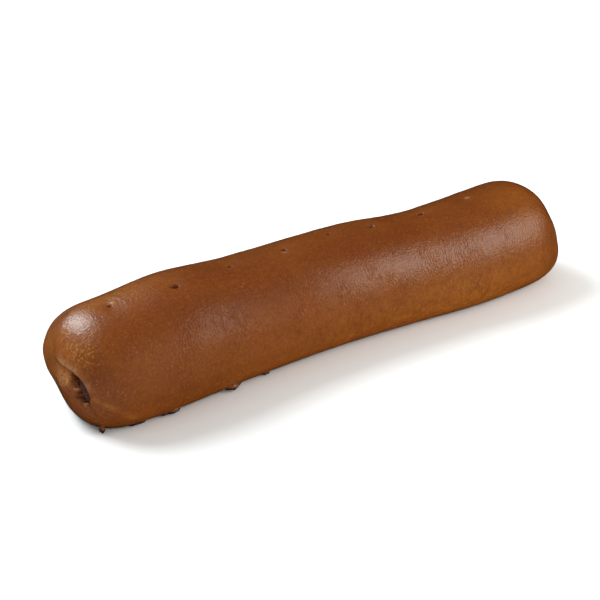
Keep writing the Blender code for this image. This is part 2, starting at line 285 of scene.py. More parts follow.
    def tuck_relief(self, end: TuckedEnd, size: np.ndarray,
                    angle: np.ndarray) -> tuple[np.ndarray, np.ndarray]:
        """Rise of a tucked end's lip and crease, and their slide away from the tongue's middle.

        Args:
            end: The end.
            size: Section sizes of points on it.
            angle: Angles of the points round the tongue.

        Returns:
            The rise along the surface's normals, and the slide.
        """
        past = self.past_crease(size)
        on_lip = smooth_step(past / self.lip_round + 0.2)
        lip = on_lip * np.exp(-np.maximum(past, 0) / self.lip_reach)
        crease = (1 - on_lip) * np.exp(-np.maximum(-past, 0) / end.crease_reach)
        window = self.tuck_window(end, angle)
        return (window * (end.lip_rise * lip - end.crease_depth * crease),
                window * self.lip_overhang * (crease - lip))

    def front_edge(self, x: float, level: float) -> Vector:
        """The log's front surface at a station and a height in its lower half."""
        middle, widest, half_width, reach = self.section(x, -1)
        power = self.base_squareness
        inset = (1 - ((widest - level) / reach) ** power) ** (1 / power)
        return Vector((x, middle - half_width * inset, level))


@dataclass
class Meridian:
    """Distances along the skin from the near tongue's middle to the far one's."""

    form: LogForm
    samples: int = 4000
    near_arc: np.ndarray = field(init=False)
    near_size: np.ndarray = field(init=False)
    far_arc: np.ndarray = field(init=False)
    far_size: np.ndarray = field(init=False)

    def __post_init__(self) -> None:
        """Measure both ends' rounded meridians."""
        self.near_arc, self.near_size = self._measure(self.form.near)
        self.far_arc, self.far_size = self._measure(self.form.far)

    def _measure(self, end: TuckedEnd) -> tuple[np.ndarray, np.ndarray]:
        """Arc lengths from an end's tip, and the section's size at each.

        Args:
            end: The end.

        Returns:
            The lengths, and the sizes.
        """
        turn = math.pi / 2 * np.linspace(0, 1, self.samples) ** 2
        size = np.sin(turn) ** (2 / end.squareness)
        inward = end.reach * (1 - np.clip(np.cos(turn), 0, 1) ** (2 / end.squareness))
        steps = np.hypot(np.diff(size) * self.form.width / 2, np.diff(inward))
        return np.concatenate([[0], np.cumsum(steps)]), size

    @property
    def start(self) -> float:
        """Station at which the near end has reached the log's full section."""
        return float(self.form.end_station(self.form.near, 1.0))

    @property
    def total(self) -> float:
        """Whole distance from one tongue's middle to the other's."""
        stop = float(self.form.end_station(self.form.far, 1.0))
        return float(self.near_arc[-1] + stop - self.start + self.far_arc[-1])

    def sizes(self, along: np.ndarray) -> tuple[np.ndarray, np.ndarray]:
        """Near and far section sizes at distances along the skin, 1 past each end."""
        return (np.interp(along, self.near_arc, self.near_size),
                np.interp(self.total - along, self.far_arc, self.far_size))

    def points(self, along: np.ndarray, angle: np.ndarray) -> np.ndarray:
        """Points of the plain skin at distances along it and angles round it.

        Args:
            along: Distances from the middle of the near tongue.
            angle: Angles, 0 at +Y and a quarter turn at the top.

        Returns:
            The points, one for each row.
        """
        near_size, far_size = self.sizes(along)
        on_near, on_far = along < self.near_arc[-1], self.total - along < self.far_arc[-1]
        found = self.form.side_points(self.start + along - self.near_arc[-1], angle)
        found[on_near] = self.form.end_points(self.form.near, near_size[on_near], angle[on_near])
        found[on_far] = self.form.end_points(self.form.far, far_size[on_far], angle[on_far])
        return found


# ---------------------------------------------------------------------------------------------
# Finishes
# ---------------------------------------------------------------------------------------------
@dataclass(frozen=True)
class Pattern:
    """Noise over a surface, cut to a smooth range of values."""

    size: float                 # of its largest lumps, in millimetres
    detail: float
    low: float                  # noise that gives the first value
    high: float                 # noise that gives the last one
    first: float = 0.0
    last: float = 1.0
    roughness: float = 0.55


class NodeGraph:
    """A node tree, with a short call that adds a node to it."""

    def __init__(self, tree: bpy.types.NodeTree) -> None:
        """Keep the tree."""
        self.tree = tree

    def node(self, kind: str, inputs: dict | None = None, **settings) -> bpy.types.Node:
        """Add a node.

        Args:
            kind: The node's type name.
            inputs: What each input, by name or index, holds or is linked to.
            settings: The node's own properties.

        Returns:
            The new node.
        """
        made = self.tree.nodes.new(kind)
        for name, value in settings.items():
            setattr(made, name, value)
        for name, value in (inputs or {}).items():
            self.feed(made.inputs[name], value)
        return made

    def feed(self, socket: Socket, value) -> None:
        """Link a socket to another one, or set its value.

        Args:
            socket: An input.
            value: The socket that feeds it, or what it holds.
        """
        if isinstance(value, Socket):
            self.tree.links.new(value, socket)
        elif isinstance(value, tuple) and socket.type == 'RGBA':
            socket.default_value = (*value, 1)
        else:
            socket.default_value = value


class ShaderGraph(NodeGraph):
    """A material's node tree, with a short call for each kind of node that the finishes use."""

    def __init__(self, name: str) -> None:
        """Start a material that holds one Principled shader."""
        self.material = bpy.data.materials.new(name)
        self.material.use_nodes = True
        super().__init__(self.material.node_tree)
        self.shader = self.tree.nodes["Principled BSDF"]

    def mask(self, mask: Mask) -> Socket:
        """One of the skin's attributes."""
        return self.node("ShaderNodeAttribute", attribute_name=mask.value).outputs["Fac"]

    def object_place(self) -> Socket:
        """Object coordinates, in metres."""
        return self.node("ShaderNodeTexCoord").outputs["Object"]

    def skin_place(self) -> Socket:
        """The skin's own map, in metres along the log and round its girth."""
        return self.node("ShaderNodeUVMap", uv_map=Skin.MAP).outputs["UV"]

    def axes(self, place: Socket) -> bpy.types.NodeOutputs:
        """A place's share along each axis, by the axis's name."""
        return self.node("ShaderNodeSeparateXYZ", {0: place}).outputs

    def noise(self, place: Socket, size: float, detail: float = 3.0,
              roughness: float = 0.55) -> Socket:
        """Noise whose largest lumps have a size in millimetres."""
        return self.node("ShaderNodeTexNoise",
                         {"Vector": place, "Scale": 1 / (size * MM), "Detail": detail,
                          "Roughness": roughness}).outputs["Fac"]

    def warped(self, place: Socket, size: float, amount: float) -> Socket:
        """A place moved about by noise.

        Args:
            place: The place.
            size: The size of the noise's largest lumps, in millimetres.
            amount: How far it moves the place, in millimetres.

        Returns:
            The moved place.
        """
        swirl = self.node("ShaderNodeTexNoise", {"Vector": place, "Scale": 1 / (size * MM),
                                                 "Detail": 1.0}).outputs["Color"]
        centred = self.node("ShaderNodeVectorMath", {0: swirl, 1: (0.5, 0.5, 0.5)},
                            operation='SUBTRACT').outputs[0]
        moved = self.node("ShaderNodeVectorMath", {0: centred, "Scale": 2 * amount * MM},
                          operation='SCALE').outputs[0]
        return self.node("ShaderNodeVectorMath", {0: place, 1: moved},
                         operation='ADD').outputs[0]

    def range(self, value, low: float, high: float, first: float = 0.0,
              last: float = 1.0) -> Socket:
        """A smooth ramp of a value."""
        return self.node("ShaderNodeMapRange",
                         {"Value": value, "From Min": low, "From Max": high, "To Min": first,
                          "To Max": last}, interpolation_type='SMOOTHSTEP').outputs["Result"]

    def faded(self, value, over: tuple[float, float], first: float = 0.0,
              last: float = 1.0) -> Socket:
        """A smooth ramp of a length in metres, over a stretch in millimetres."""
        return self.range(value, over[0] * MM, over[1] * MM, first, last)

    def pattern(self, place: Socket, pattern: Pattern) -> Socket:
        """A pattern's values at a place."""
        value = self.noise(place, pattern.size, pattern.detail, pattern.roughness)
        return self.range(value, pattern.low, pattern.high, pattern.first, pattern.last)

    def math(self, operation: str, first, second=0.0, *more) -> Socket:
        """A sum, product or other operation on two values, or on more in turn."""
        made = self.node("ShaderNodeMath", {0: first, 1: second},
                         operation=operation).outputs["Value"]
        return self.math(operation, made, *more) if more else made

    def mix(self, factor, first, second, blend: str = 'MIX') -> Socket:
        """A mix or another blend of two colours.

        Args:
            factor: The second colour's share.
            first: The first colour.
            second: The second colour.
            blend: The blend's type name.

        Returns:
            The blended colour.
        """
        made = self.node("ShaderNodeMix", data_type='RGBA', blend_type=blend)
        self.feed(made.inputs["Factor"], factor)
        colours = [socket for socket in made.inputs if socket.type == 'RGBA']
        self.feed(colours[0], first)
        self.feed(colours[1], second)
        return next(socket for socket in made.outputs if socket.type == 'RGBA')

    def tinted(self, colour: Socket, mask: Mask, tint: Colour, share: Socket) -> Socket:
        """A colour with some share of a tint mixed in where a mask is."""
        return self.mix(self.math('MULTIPLY', self.mask(mask), share), colour, tint)

    def shade(self, colour, brightness: Socket) -> Socket:
        """A colour made lighter or darker."""
        grey = self.node("ShaderNodeCombineColor",
                         {0: brightness, 1: brightness, 2: brightness}).outputs[0]
        return self.mix(1.0, colour, grey, 'MULTIPLY')

    def bump(self, height: Socket, rise: float, normal: Socket | None = None) -> Socket:
        """A bumped normal.

        Args:
            height: Heights, mostly from 0 to 1.
            rise: What a height of 1 stands for, in millimetres.
            normal: The normal to bump, where it isn't the surface's own.

        Returns:
            The bumped normal.
        """
        made = self.node("ShaderNodeBump", {"Height": height, "Distance": rise * MM,
                                            "Strength": 1.0})
        if normal is not None:
            self.feed(made.inputs["Normal"], normal)
        return made.outputs["Normal"]

    def finish(self, **sockets) -> bpy.types.Material:
        """Feed the shader's sockets, named with underscores, and give the material."""
        for name, value in sockets.items():
            self.feed(self.shader.inputs[name.replace("_", " ")], value)
        return self.material


@dataclass(frozen=True)
class CrustFinish:
    """Egg-glazed crust: red-brown, golden where it is thin, with a soft wrinkled shine."""

    brown: Colour = (0.166, 0.0418, 0.0042)
    deep: Colour = (0.122, 0.0245, 0.0030)
    gold: Colour = (0.262, 0.0800, 0.0070)
    # paler dough, and the painted highlights and reflections
    pale_and_sheen: Colour = (0.540, 0.3200, 0.1600)
    fleck: Colour = (0.440, 0.2050, 0.0650)
    # painted shade inside pricks, the pocket and the crease, and a lighter tone that mottles it
    hollow_shade: Colour = (0.060, 0.0130, 0.0045)
    lighter_hollow_shade: Colour = (0.190, 0.0480, 0.0160)
    # the dark edge round the base: browner bake and painted contact shadow
    singed_and_shade: Colour = (0.040, 0.0100, 0.0040)
    specular: float = 0.08
    coat_weight: float = 0.93
    coat_roughness: float = 0.29
    roughness: Pattern = Pattern(5, 4, 0.30, 0.70, 0.37, 0.49)
    worn_roughness: float = 0.28    # added where the glaze is thin, torn or missing
    worn_coat: float = 0.1          # share of the coat that is left there
    blotches: Pattern = Pattern(22, 4, 0.40, 0.64, last=0.45)
    gold_patches: Pattern = Pattern(6, 5, 0.30, 0.62, first=0.5)
    deep_patches: Pattern = Pattern(9, 5, 0.30, 0.62, first=0.5)
    mottle_warp: tuple[float, float] = (6.0, 2.0)       # size and amount
    streaks: Pattern = Pattern(2.6, 3, 0.42, 0.66, last=0.35, roughness=0.6)
    glints: Pattern = Pattern(1.3, 4, 0.48, 0.70, last=0.40, roughness=0.65)
    grains: Pattern = Pattern(1.1, 3, 0.30, 0.70, 0.90, 1.14, 0.65)
    # breaks up the paler dough and the painted highlights and reflections
    pale_and_sheen_breakup: Pattern = Pattern(3.5, 5, 0.36, 0.62, 0.45, 1.0, 0.65)
    # mottles the painted shade in the hollows
    hollow_shade_mottling: Pattern = Pattern(1.3, 4, 0.42, 0.62, roughness=0.65)
    fleck_groups: Pattern = Pattern(11, 3, 0.44, 0.64, last=0.5)
    fleck_grain: Grain = (1.1, 4, 0.65)
    fleck_level: float = 0.72       # noise above which a lone fleck shows
    fleck_crowding: float = 0.25    # how far that level falls where flecks are thickest
    fleck_edge: float = 0.10        # noise past the level at which a fleck is strongest
    fleck_strength: float = 0.42
    bounce_light_gain: float = 0.7           # how much painted bounce light brightens the dough where it is low
    bounce_light_fade: tuple[float, float] = (1.0, 16.0)         # heights over which that fades
    bounce_light_start: tuple[float, float] = (-140.0, -120.0)   # stations over which it sets in
    wrinkle_warps: tuple[tuple[float, float], ...] = ((9.0, 3.0), (3.5, 1.2))
    wrinkle_spacing: float = 1.6
    wrinkle_height: float = 0.15
    wrinkle_patches: Pattern = Pattern(16, 2, 0.40, 0.62, first=0.15)
    wrinkle_ends: tuple[float, float] = (95.0, 130.0)   # from the middle, where they fade
    wrinkle_top: tuple[float, float] = (42.0, 50.0)     # heights over which they fade
    pores: Grain = (1.3, 3, 0.6)
    pore_height: float = 0.33
    tears: Grain = (0.9, 3, 0.65)
    tear_height: float = 0.45

    def material(self) -> bpy.types.Material:
        """Build the crust's material.

        Returns:
            The material.
        """
        graph = ShaderGraph("egg_glazed_crust")
        place = graph.object_place()
        normal = self._relief(graph, place)
        worn = graph.math('MAXIMUM', *map(graph.mask, (Mask.CRUMBLY, Mask.DULL, Mask.HOLLOW_SHADE)))
        rough = graph.math('ADD', graph.pattern(place, self.roughness),
                           graph.math('MULTIPLY', worn, self.worn_roughness))
        coat = graph.math('MULTIPLY', graph.range(worn, 0.0, 1.0, 1.0, self.worn_coat),
                          self.coat_weight)
        return graph.finish(Base_Color=self._colour(graph, place), Roughness=rough,
                            Specular_IOR_Level=self.specular, Coat_Weight=coat,
                            Coat_Roughness=self.coat_roughness, Normal=normal,
                            Coat_Normal=normal)

    def _colour(self, graph: ShaderGraph, place: Socket) -> Socket:
        """The bake's colour, from broad patches down to single grains, with painted bounce light,
        highlights, reflections, shade and contact shadow.

        Args:
            graph: The crust's node tree.
            place: Object coordinates in it.

        Returns:
            The colour.
        """
        colour = graph.mix(graph.pattern(place, self.blotches), self.brown, self.deep)
        for mask, tint, patches in ((Mask.GOLD, self.gold, self.gold_patches),
                                    (Mask.DEEP, self.deep, self.deep_patches)):
            colour = graph.tinted(colour, mask, tint, graph.pattern(place, patches))
        mottled = graph.warped(place, *self.mottle_warp)
        colour = graph.mix(graph.pattern(mottled, self.streaks), colour, self.deep)
        colour = graph.mix(graph.pattern(mottled, self.glints), colour, self.gold)
        colour = graph.shade(colour, graph.pattern(place, self.grains))
        colour = graph.mix(self._flecks(graph, place), colour, self.fleck)
        # painted bounce light from the floor: brighter where the dough is low
        colour = graph.shade(colour, self._painted_bounce_light(graph, place))
        # paler dough, with painted highlights and reflections, broken up by noise
        colour = graph.tinted(colour, Mask.PALE_AND_SHEEN, self.pale_and_sheen, graph.pattern(place, self.pale_and_sheen_breakup))
        # painted shade inside the pricks, the pocket and the crease
        inside = graph.mix(graph.pattern(place, self.hollow_shade_mottling), self.hollow_shade, self.lighter_hollow_shade)
        colour = graph.mix(graph.mask(Mask.HOLLOW_SHADE), colour, inside)
        # browner bake and painted contact shadow round the base
        return graph.mix(graph.mask(Mask.SINGED_AND_SHADE), colour, self.singed_and_shade)

    def _flecks(self, graph: ShaderGraph, place: Socket) -> Socket:
        """Tiny ragged pale flecks, in loose groups and thickest where the dough is crumbly.

        Args:
            graph: The crust's node tree.
            place: Object coordinates in it.

        Returns:
            How strongly the flecks show.
        """
        wanted = graph.math('MAXIMUM', graph.pattern(place, self.fleck_groups),
                            graph.mask(Mask.CRUMBLY))
        level = graph.math('SUBTRACT', self.fleck_level,
                           graph.math('MULTIPLY', wanted, self.fleck_crowding))
        speck = graph.math('SUBTRACT', graph.noise(place, *self.fleck_grain), level)
        return graph.range(speck, 0.0, self.fleck_edge, 0.0, self.fleck_strength)

    def _painted_bounce_light(self, graph: ShaderGraph, place: Socket) -> Socket:
        """Painted bounce light: how many times brighter the dough is painted where it is low, away
        from the near end, standing in for light bounced up from the floor.
        """
        where = graph.axes(place)
        low = graph.faded(where["Z"], self.bounce_light_fade, 1.0, 0.0)
        away = graph.faded(where["X"], self.bounce_light_start)
        return graph.math('ADD', graph.math('MULTIPLY', low, away, self.bounce_light_gain), 1.0)

    def _relief(self, graph: ShaderGraph, place: Socket) -> Socket:
        """Fine swirling wrinkles of the glaze, which run round the girth, over small pores.

        Args:
            graph: The crust's node tree.
            place: Object coordinates in it.

        Returns:
            The bumped normal.
        """
        swirled = graph.skin_place()
        for warp in self.wrinkle_warps:
            swirled = graph.warped(swirled, *warp)
        waves = math.tau / (20 * self.wrinkle_spacing * MM)
        lines = graph.node("ShaderNodeTexWave",
                           {"Vector": swirled, "Scale": waves, "Distortion": 4.0,
                            "Detail": 2.0, "Detail Scale": 1.2},
                           wave_type='BANDS', bands_direction='X').outputs["Fac"]
        where = graph.axes(place)
        along = graph.math('ABSOLUTE', where["X"])
        wrinkles = graph.math('MULTIPLY', lines, graph.pattern(place, self.wrinkle_patches),
                              graph.faded(along, self.wrinkle_ends, 1.0, 0.0),
                              graph.faded(where["Z"], self.wrinkle_top, 1.0, 0.1))
        normal = graph.bump(wrinkles, self.wrinkle_height)
        normal = graph.bump(graph.noise(place, *self.pores), self.pore_height, normal)
        torn = graph.math('MULTIPLY', graph.noise(place, *self.tears), graph.mask(Mask.CRUMBLY))
        return graph.bump(torn, self.tear_height, normal)


@dataclass(frozen=True)
class FillingFinish:
    """Moist ground poppy seed, nearly black with a purple-brown cast."""

    dark: Colour = (0.046, 0.0115, 0.0060)
    light: Colour = (0.150, 0.0400, 0.0160)
    roughness: float = 0.45
    grain: Grain = (0.9, 4, 0.65)
    grain_tones: tuple[float, float] = (0.42, 0.68)     # noise of the dark and the light one
    grain_height: float = 0.35

    def material(self) -> bpy.types.Material:
        """Build the filling's material.

        Returns:
            The material.
        """
        graph = ShaderGraph("ground_poppy_seed")
        grains = graph.noise(graph.object_place(), *self.grain)
        colour = graph.mix(graph.range(grains, *self.grain_tones), self.dark, self.light)
        return graph.finish(Base_Color=colour, Roughness=self.roughness,
                            Normal=graph.bump(grains, self.grain_height))


@dataclass(frozen=True)
class LeakFinish:
    """Leaked filling, baked hard: golden brown on top and darker towards the bottom."""

    top: Colour = (0.170, 0.0480, 0.0060)
    dark_below: Colour = (0.030, 0.0075, 0.0035)
    turn: tuple[float, float] = (1.9, 4.18)     # heights over which the darker colour below gives way
    turn_wander: float = 1.6                    # how far noise moves them
    wander_size: float = 1.5
    grain: Grain = (0.7, 4, 0.6)
    grain_height: float = 0.25
    roughness: float = 0.42
    coat_weight: float = 0.2
    coat_roughness: float = 0.3

    def material(self) -> bpy.types.Material:
        """Build the leaked filling's material.

        Returns:
            The material.
        """
        graph = ShaderGraph("baked_leak")
        place = graph.object_place()
        wander = graph.math('MULTIPLY', graph.noise(place, self.wander_size),
                            self.turn_wander * MM)
        ragged = graph.math('ADD', graph.axes(place)["Z"], wander)
        colour = graph.mix(graph.faded(ragged, self.turn), self.dark_below, self.top)
        grains = graph.noise(place, *self.grain)
        colour = graph.shade(colour, graph.range(grains, 0.3, 0.7, 0.7, 1.3))
        return graph.finish(Base_Color=colour, Roughness=self.roughness,
                            Coat_Weight=self.coat_weight, Coat_Roughness=self.coat_roughness,
                            Normal=graph.bump(grains, self.grain_height))


@dataclass(frozen=True)
class SeedFinish:
    """Whole poppy seeds: slate blue to nearly black."""

    dark: Colour = (0.030, 0.0100, 0.0070)
    slate: Colour = (0.085, 0.0360, 0.0260)
    tones: Pattern = Pattern(1.3, 2, 0.40, 0.65)
    roughness: float = 0.45

    def material(self) -> bpy.types.Material:
        """Build the seeds' material."""
        graph = ShaderGraph("poppy_seeds")
        tone = graph.pattern(graph.object_place(), self.tones)
        return graph.finish(Base_Color=graph.mix(tone, self.dark, self.slate),
                            Roughness=self.roughness)


@dataclass(frozen=True)
class FloorFinish:
    """A plain white sweep."""

    white: Colour = (0.90, 0.90, 0.90)

    def material(self) -> bpy.types.Material:
        """Build the floor's material."""
        graph = ShaderGraph("white_floor")
        return graph.finish(Base_Color=self.white, Roughness=0.9, Specular_IOR_Level=0.1)


# ---------------------------------------------------------------------------------------------
# Meshes
# ---------------------------------------------------------------------------------------------
def link(item: bpy.types.Object) -> bpy.types.Object:
    """Put an object in the scene."""
    bpy.context.scene.collection.objects.link(item)
    return item


def new_piece(name: str, mesh: bpy.types.Mesh, material: bpy.types.Material,
              replaced: tuple[str, ...] = ()) -> bpy.types.Object:
    """Link a finished mesh as a piece of the roll.

    Args:
        name: The piece's name.
        mesh: Its mesh, already in its place.
        material: Its finish.
        replaced: The solids that it stands for.

    Returns:
        The piece, riding on the roll's one body.
    """
    piece = link(bpy.data.objects.new(name, mesh))
    mesh.materials.clear()
    mesh.materials.append(material)
    mesh.shade_smooth()
    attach(piece, BODY)
    if replaced:
        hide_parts(*replaced)
    mesh.calc_loop_triangles()
    LOG.info("%s: %d triangles", name, len(mesh.loop_triangles))
    return piece


def draft(name: str, mesh: bpy.types.Mesh) -> bpy.types.Object:
    """A temporary object, for modifiers to work on."""
    return link(bpy.data.objects.new(name, mesh))


def mesh_of(tools: bmesh.types.BMesh, name: str) -> bpy.types.Mesh:
    """A plain mesh of what the tools hold; the tools are freed."""
    mesh = bpy.data.meshes.new(name)
    tools.to_mesh(mesh)
    tools.free()
    return mesh


def baked_mesh(item: bpy.types.Object) -> bpy.types.Mesh:
    """The plain mesh that a draft's modifiers give; the draft is removed."""
    evaluated = item.evaluated_get(bpy.context.evaluated_depsgraph_get())
    mesh = bpy.data.meshes.new_from_object(evaluated)
    bpy.data.objects.remove(item)
    return mesh


def even_mesh(item: bpy.types.Object, voxel: float) -> bpy.types.Mesh:
    """A draft's mesh made one closed body of small even quads, a voxel in millimetres wide."""
    remesh = item.modifiers.new("even", 'REMESH')
    remesh.mode = 'VOXEL'
    remesh.voxel_size = voxel * MM
    return baked_mesh(item)


def mesh_points(mesh: bpy.types.Mesh) -> np.ndarray:
    """A mesh's vertices as an array."""
    found = np.empty(len(mesh.vertices) * 3)
    mesh.vertices.foreach_get("co", found)
    return found.reshape(-1, 3)


def mesh_normals(mesh: bpy.types.Mesh) -> np.ndarray:
    """A mesh's vertex normals as an array."""
    found = np.empty(len(mesh.vertices) * 3)
    mesh.vertex_normals.foreach_get("vector", found)
    return found.reshape(-1, 3)


def move_points(mesh: bpy.types.Mesh, points: np.ndarray) -> None:
    """Put a mesh's vertices at points."""
    mesh.vertices.foreach_set("co", points.astype(np.float32).ravel())
    mesh.update()


def roughen(mesh: bpy.types.Mesh, relief: Unevenness) -> None:
    """Raise a placed mesh by some relief, but keep it a hair above the floor."""
    points = mesh_points(mesh) / MM
    points += mesh_normals(mesh) * relief.at(points)[:, None]
    points[:, 2] = np.maximum(points[:, 2], FLOOR_GAP)
    move_points(mesh, points * MM)


# ---------------------------------------------------------------------------------------------
# The crust
# ---------------------------------------------------------------------------------------------
@dataclass(frozen=True)
class Prick:
    """A docking prick, with the blister that some of them have beside it."""

    place: float                # along the log
    sideways: float             # from the ridge
    radius: float               # halfway down its wall
    depth: float
    slope: float = 0.9          # width of its wall
    stretch: float = 1.0        # its length along the log for its width
    shade: float = 0.9          # how dark the painted shade inside it is
    blister: float = 0.0        # height of the blister, which also sets its painted highlight
    blister_shift: tuple[float, float] = (2.3, 0.6)
    blister_reach: float = 1.3


@dataclass(frozen=True)
class PocketCell:
    """An egg-shaped space under the near end's lip, placed round the middle of the tongue."""

    angle: float                # degrees round the tongue
    from_middle: float
    length: float               # along the crease
    width: float                # across it
    depth: float


@dataclass(frozen=True)
class Fold:
    """A short raised fold or sunk line of the dough between two points."""

    start: Point
    end: Point
    reach: float
    rise: float
    mask: Mask = Mask.GOLD
    strength: float = 0.0       # of its mask; a fold without one only has its relief

    def nearness(self, points: np.ndarray) -> np.ndarray:
        """1 on the fold's line, fading to 0 past its reach."""
        start, end = np.array(self.start), np.array(self.end)
        along = end - start
        share = np.clip((points - start) @ along / (along @ along), 0, 1)
        return bell(np.linalg.norm(points - start - share[:, None] * along, axis=1), self.reach)


@dataclass(frozen=True)
class Patch:
    """A soft-edged patch of one of the skin's masks: another bake, worn glaze, torn dough or
    painted light.
    """

    mask: Mask
    middle: Point
    reach: Point
    strength: float

    def at(self, points: np.ndarray) -> np.ndarray:
        """The patch's strength at points."""
        apart = (points - np.array(self.middle)) / np.array(self.reach)
        return self.strength * np.exp(-np.sum(apart ** 2, axis=1))


@dataclass
class Skin:
    """The glazed crust: a fine skin over the log's form, with all its relief."""

    MAP = "skin"

    form: LogForm
    finish: CrustFinish = CrustFinish()
    step: float = 1.0               # side of the skin's quads before it is refined
    pricks: tuple[Prick, ...] = (
        Prick(-124.0, -1.8, 0.9, 1.8, blister=1.3),
        Prick(-90.6, -6.3, 1.4, 3.2, slope=1.2, stretch=1.2),
        Prick(-54.4, -1.6, 1.0, 1.8, shade=0.8),
        Prick(-20.8, -1.4, 1.2, 2.2, shade=0.85, blister=0.3, blister_shift=(-0.9, -2.3)),
        Prick(8.9, 1.5, 1.0, 1.8, shade=0.8),
        Prick(33.0, -1.1, 1.2, 2.0, stretch=1.7, shade=0.85),
        Prick(66.0, 1.8, 1.1, 2.0, stretch=1.8, shade=0.9),
        Prick(95.7, 2.1, 0.6, 0.9, shade=0.6, blister=0.5, blister_shift=(2.4, 0.4),
              blister_reach=1.2),
    )
    wobble: Unevenness = Unevenness(0.25, (2, 2, 2), 17.0, octaves=1)   # of a pit's outline
    prick_area: float = 6.0         # how far round a prick the skin is refined
    prick_bake: float = 3.2         # how far round it the dough is baked darker
    prick_dulling: float = 2.8      # how far round it the glaze is worn thin
    dimple_depth: float = 0.6
    dimple_reach: float = 6.0
    cells: tuple[PocketCell, ...] = (
        PocketCell(127, 12.4, 8.4, 7.6, 9.0),
        PocketCell(163, 11.0, 6.0, 7.4, 9.0),
    )
    cell_wall: float = 0.3          # share of a cell that its sloping wall takes
    pocket_undercut: float = 8.0    # degrees that the pocket leans in under the lip
    pocket_place: Point = (-148.0, -25.0, 24.0)
    pocket_area: float = 13.0
    folds: tuple[Fold, ...] = (
        # Two strands of dough over the pocket's lower corner, with painted highlights on them, and
        # the gap between them, with painted shade in it
        Fold((-146.5, -26.0, 18.5), (-145.6, -24.3, 14.6), 0.55, 0.7, Mask.PALE_AND_SHEEN, 0.35),
        Fold((-145.6, -29.6, 19.2), (-145.0, -27.6, 15.4), 0.55, 0.7, Mask.PALE_AND_SHEEN, 0.35),
        Fold((-145.9, -28.0, 19.0), (-145.2, -26.0, 15.0), 0.45, -0.8, Mask.HOLLOW_SHADE, 0.6),
        # The golden streak from beside the pocket down towards the base
        Fold((-144.6, -31.4, 20.5), (-138.6, -35.7, 16.8), 1.3, 0.15, Mask.GOLD, 0.9),
        Fold((-138.6, -35.7, 16.8), (-128.0, -35.9, 8.1), 1.3, 0.15, Mask.GOLD, 0.9),
        # The painted highlight along the lip's crest over the pocket
        Fold((-150.5, -12.0, 33.5), (-149.2, -22.8, 32.0), 2.2, 0.1, Mask.PALE_AND_SHEEN, 0.33),
        Fold((-149.2, -22.8, 32.0), (-146.5, -29.3, 26.2), 2.2, 0.1, Mask.PALE_AND_SHEEN, 0.16),
        # The dent beside the tongue, with a faint painted reflection of the floor along the near
        # end's lower edge, and the tongue's swell beside the pocket
        Fold((-147.0, 10.0, 18.0), (-145.5, 4.0, 9.0), 8.0, -2.4, Mask.PALE_AND_SHEEN, 0.10),
        Fold((-149.0, -13.0, 19.0), (-148.0, -15.5, 12.0), 6.5, 1.3, Mask.DEEP, 0.8),
        # The near end's fuller lip, its sunk top and its low corner
        Fold((-150.0, 6.0, 31.0), (-150.0, 5.0, 24.0), 6.0, 1.6),
        Fold((-145.5, 5.0, 44.0), (-141.0, 5.0, 48.0), 6.0, -1.2),
        Fold((-146.0, -18.0, 8.0), (-142.0, -26.0, 5.0), 5.0, 0.3),
        # Two flats on the front of the far end
        Fold((142.7, -16.2, 37.4), (139.5, -22.7, 30.6), 9.0, -1.2),
        Fold((141.0, -24.0, 22.0), (139.0, -24.0, 13.0), 7.0, -0.9),
    )
    patches: tuple[Patch, ...] = (
        Patch(Mask.GOLD, (-147, -14, 38), (12, 26, 15), 0.6),
        Patch(Mask.GOLD, (-118, -2, 56), (32, 11, 9), 0.8),
        # paler, more golden along the lower front: partly paler dough, partly painted light bounced
        # up from the floor
        Patch(Mask.GOLD, (70, -34, 12), (115, 14, 19), 1.0),
        Patch(Mask.GOLD, (-147.5, -24, 24), (5, 5, 1.5), 0.9),
        Patch(Mask.PALE_AND_SHEEN, (-149.5, -13, 25), (6, 7, 3.5), 0.20),
        # painted reflection of the floor along the near end's lower left edge
        Patch(Mask.PALE_AND_SHEEN, (-146, 6, 12), (6, 8, 9), 0.34),
        Patch(Mask.GOLD, (148, -8, 24), (14, 30, 22), 0.5),
        # golden patch on the far end's top, partly a painted highlight
        Patch(Mask.GOLD, (122, -14, 48), (24, 16, 12), 0.6),
        Patch(Mask.GOLD, (-149, -13, 26), (7, 10, 6), 0.9),
        Patch(Mask.DEEP, (-75, -24, 44), (48, 11, 10), 0.9),
        Patch(Mask.DEEP, (-142, -31, 33), (7, 6, 8), 1.0),
        Patch(Mask.DEEP, (35, -12, 49), (75, 11, 8), 0.75),
        Patch(Mask.DEEP, (-62, -10, 53), (34, 11, 6), 0.70),
        Patch(Mask.DULL, (-42, -26, 38), (52, 14, 20), 0.90),
        Patch(Mask.DULL, (-112, -28, 38), (43, 16, 20), 1.0),
        Patch(Mask.CRUMBLY, (-149.5, -14, 25), (6, 8, 5), 1.0),
        Patch(Mask.CRUMBLY, (-145, -20, 40), (9, 17, 8), 1.0),
    )
